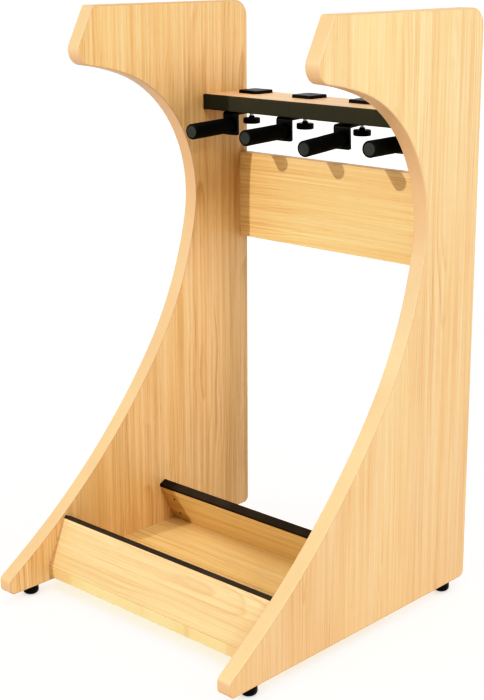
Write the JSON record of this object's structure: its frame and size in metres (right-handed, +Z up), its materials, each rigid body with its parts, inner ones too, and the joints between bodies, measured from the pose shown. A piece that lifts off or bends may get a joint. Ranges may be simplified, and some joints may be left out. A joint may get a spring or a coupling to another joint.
{
  "type": "floor guitar rack",
  "caption": "Free-standing floor rack for guitars: shaped side panels, a padded tray below, and a neck board with swivelling foam-covered pegs on clamped brackets.",
  "frame": {"origin": "on the floor, at the middle of the rack's width and depth", "axes": "+X across the rack to the viewer's right when facing it, +Y from the front towards the back, +Z up"},
  "size_m": [0.502, 0.545, 0.914],
  "materials": {
    "oak_laminate": "light oak wood-grain laminate, satin",
    "edge_band": "plain light oak plastic edge banding, satin",
    "black_foam": "black closed-cell foam, matt",
    "rubber_strip": "black ribbed rubber strip, matt",
    "black_coated_steel": "black powder coat, fine texture",
    "steel_rod": "plain steel",
    "grey_cap": "dark grey plastic, matt",
    "zinc_washer": "zinc plate",
    "zinc_steel": "zinc plate",
    "black_steel": "black oxide",
    "nylon": "natural nylon",
    "black_plastic": "black moulded plastic, satin",
    "brass_insert": "plain brass",
    "beech_dowel": "bare beech"
  },
  "bodies": {
    "stand": {"back_board": "oak_laminate", "base_board": "oak_laminate", "clamp_plate_1": "black_coated_steel", "clamp_plate_2": "black_coated_steel", "clamp_plate_3": "black_coated_steel", "clamp_plate_4": "black_coated_steel", "connector_barrels": "nylon", "connector_pins": "zinc_steel", "foot_inserts": "brass_insert", "front_rail": "oak_laminate", "front_rail_strip": "rubber_strip", "grub_screws": "black_steel", "left_edge_band": "edge_band", "left_side_panel": "oak_laminate", "neck_board": "oak_laminate", "neck_board_strip": "black_foam", "rear_rail": "oak_laminate", "rear_rail_strip": "rubber_strip", "right_edge_band": "edge_band", "right_side_panel": "oak_laminate", "wood_dowels": "beech_dowel"},
    "arm_1": {"bracket_1": "black_coated_steel", "peg_rod_1": "steel_rod", "foam_sleeve_1": "black_foam", "peg_cap_1": "grey_cap"},
    "clamp_washer_1": {"washer_1": "zinc_washer"},
    "clamp_knob_1": {"knob_1": "black_plastic", "knob_stud_1": "zinc_steel"},
    "arm_2": {"bracket_2": "black_coated_steel", "peg_rod_2": "steel_rod", "foam_sleeve_2": "black_foam", "peg_cap_2": "grey_cap"},
    "clamp_washer_2": {"washer_2": "zinc_washer"},
    "clamp_knob_2": {"knob_2": "black_plastic", "knob_stud_2": "zinc_steel"},
    "arm_3": {"bracket_3": "black_coated_steel", "peg_rod_3": "steel_rod", "foam_sleeve_3": "black_foam", "peg_cap_3": "grey_cap"},
    "clamp_washer_3": {"washer_3": "zinc_washer"},
    "clamp_knob_3": {"knob_3": "black_plastic", "knob_stud_3": "zinc_steel"},
    "arm_4": {"bracket_4": "black_coated_steel", "peg_rod_4": "steel_rod", "foam_sleeve_4": "black_foam", "peg_cap_4": "grey_cap"},
    "clamp_washer_4": {"washer_4": "zinc_washer"},
    "clamp_knob_4": {"knob_4": "black_plastic", "knob_stud_4": "zinc_steel"},
    "pad_front_left": {"foot_pad_front_left": "black_plastic"},
    "stud_front_left": {"foot_stud_front_left": "zinc_steel"},
    "pad_front_right": {"foot_pad_front_right": "black_plastic"},
    "stud_front_right": {"foot_stud_front_right": "zinc_steel"},
    "pad_back_left": {"foot_pad_back_left": "black_plastic"},
    "stud_back_left": {"foot_stud_back_left": "zinc_steel"},
    "pad_back_right": {"foot_pad_back_right": "black_plastic"},
    "stud_back_right": {"foot_stud_back_right": "zinc_steel"}
  },
  "joints": [
    {"name": "arm_1_swivel", "type": "hinge", "parent": "stand", "child": "arm_1", "pos_m": [-0.177, 0.2315, 0.737], "axis": [0, 0, 1], "range_deg": [-16.5, 9.5]},
    {"name": "washer_1_travel", "type": "slide", "parent": "stand", "child": "clamp_washer_1", "axis": [0, 0, -1], "range_m": [0, 0.0032]},
    {"name": "knob_1_turn", "type": "hinge", "parent": "clamp_washer_1", "child": "clamp_knob_1", "pos_m": [-0.177, 0.2315, 0.72], "axis": [0, 0, -1], "range_deg": [0, 1440]},
    {"name": "arm_2_swivel", "type": "hinge", "parent": "stand", "child": "arm_2", "pos_m": [-0.059, 0.2315, 0.737], "axis": [0, 0, 1], "range_deg": [-16, 10]},
    {"name": "washer_2_travel", "type": "slide", "parent": "stand", "child": "clamp_washer_2", "axis": [0, 0, -1], "range_m": [0, 0.0032]},
    {"name": "knob_2_turn", "type": "hinge", "parent": "clamp_washer_2", "child": "clamp_knob_2", "pos_m": [-0.059, 0.2315, 0.72], "axis": [0, 0, -1], "range_deg": [0, 1440]},
    {"name": "arm_3_swivel", "type": "hinge", "parent": "stand", "child": "arm_3", "pos_m": [0.059, 0.2315, 0.737], "axis": [0, 0, 1], "range_deg": [-16.5, 9.5]},
    {"name": "washer_3_travel", "type": "slide", "parent": "stand", "child": "clamp_washer_3", "axis": [0, 0, -1], "range_m": [0, 0.0032]},
    {"name": "knob_3_turn", "type": "hinge", "parent": "clamp_washer_3", "child": "clamp_knob_3", "pos_m": [0.059, 0.2315, 0.72], "axis": [0, 0, -1], "range_deg": [0, 1440]},
    {"name": "arm_4_swivel", "type": "hinge", "parent": "stand", "child": "arm_4", "pos_m": [0.177, 0.2315, 0.737], "axis": [0, 0, 1], "range_deg": [-19, 7]},
    {"name": "washer_4_travel", "type": "slide", "parent": "stand", "child": "clamp_washer_4", "axis": [0, 0, -1], "range_m": [0, 0.0032]},
    {"name": "knob_4_turn", "type": "hinge", "parent": "clamp_washer_4", "child": "clamp_knob_4", "pos_m": [0.177, 0.2315, 0.72], "axis": [0, 0, -1], "range_deg": [0, 1440]},
    {"name": "foot_front_left_travel", "type": "slide", "parent": "stand", "child": "pad_front_left", "axis": [0, 0, -1], "range_m": [0, 0.01]},
    {"name": "foot_front_left_turn", "type": "hinge", "parent": "pad_front_left", "child": "stud_front_left", "pos_m": [-0.2385, -0.2225, 0.01], "axis": [0, 0, -1], "range_deg": [0, 3600]},
    {"name": "foot_front_right_travel", "type": "slide", "parent": "stand", "child": "pad_front_right", "axis": [0, 0, -1], "range_m": [0, 0.01]},
    {"name": "foot_front_right_turn", "type": "hinge", "parent": "pad_front_right", "child": "stud_front_right", "pos_m": [0.2385, -0.2225, 0.01], "axis": [0, 0, -1], "range_deg": [0, 3600]},
    {"name": "foot_back_left_travel", "type": "slide", "parent": "stand", "child": "pad_back_left", "axis": [0, 0, -1], "range_m": [0, 0.01]},
    {"name": "foot_back_left_turn", "type": "hinge", "parent": "pad_back_left", "child": "stud_back_left", "pos_m": [-0.2385, 0.2295, 0.01], "axis": [0, 0, -1], "range_deg": [0, 3600]},
    {"name": "foot_back_right_travel", "type": "slide", "parent": "stand", "child": "pad_back_right", "axis": [0, 0, -1], "range_m": [0, 0.01]},
    {"name": "foot_back_right_turn", "type": "hinge", "parent": "pad_back_right", "child": "stud_back_right", "pos_m": [0.2385, 0.2295, 0.01], "axis": [0, 0, -1], "range_deg": [0, 3600]}
  ],
  "couplings": [
    {"joint": "knob_1_turn", "follows": "washer_1_travel", "rad_per_m": 7853.9},
    {"joint": "knob_2_turn", "follows": "washer_2_travel", "rad_per_m": 7853.9},
    {"joint": "knob_3_turn", "follows": "washer_3_travel", "rad_per_m": 7853.9},
    {"joint": "knob_4_turn", "follows": "washer_4_travel", "rad_per_m": 7853.9},
    {"joint": "foot_front_left_turn", "follows": "foot_front_left_travel", "rad_per_m": 6283.1},
    {"joint": "foot_front_right_turn", "follows": "foot_front_right_travel", "rad_per_m": 6283.1},
    {"joint": "foot_back_left_turn", "follows": "foot_back_left_travel", "rad_per_m": 6283.1},
    {"joint": "foot_back_right_turn", "follows": "foot_back_right_travel", "rad_per_m": 6283.1}
  ]
}
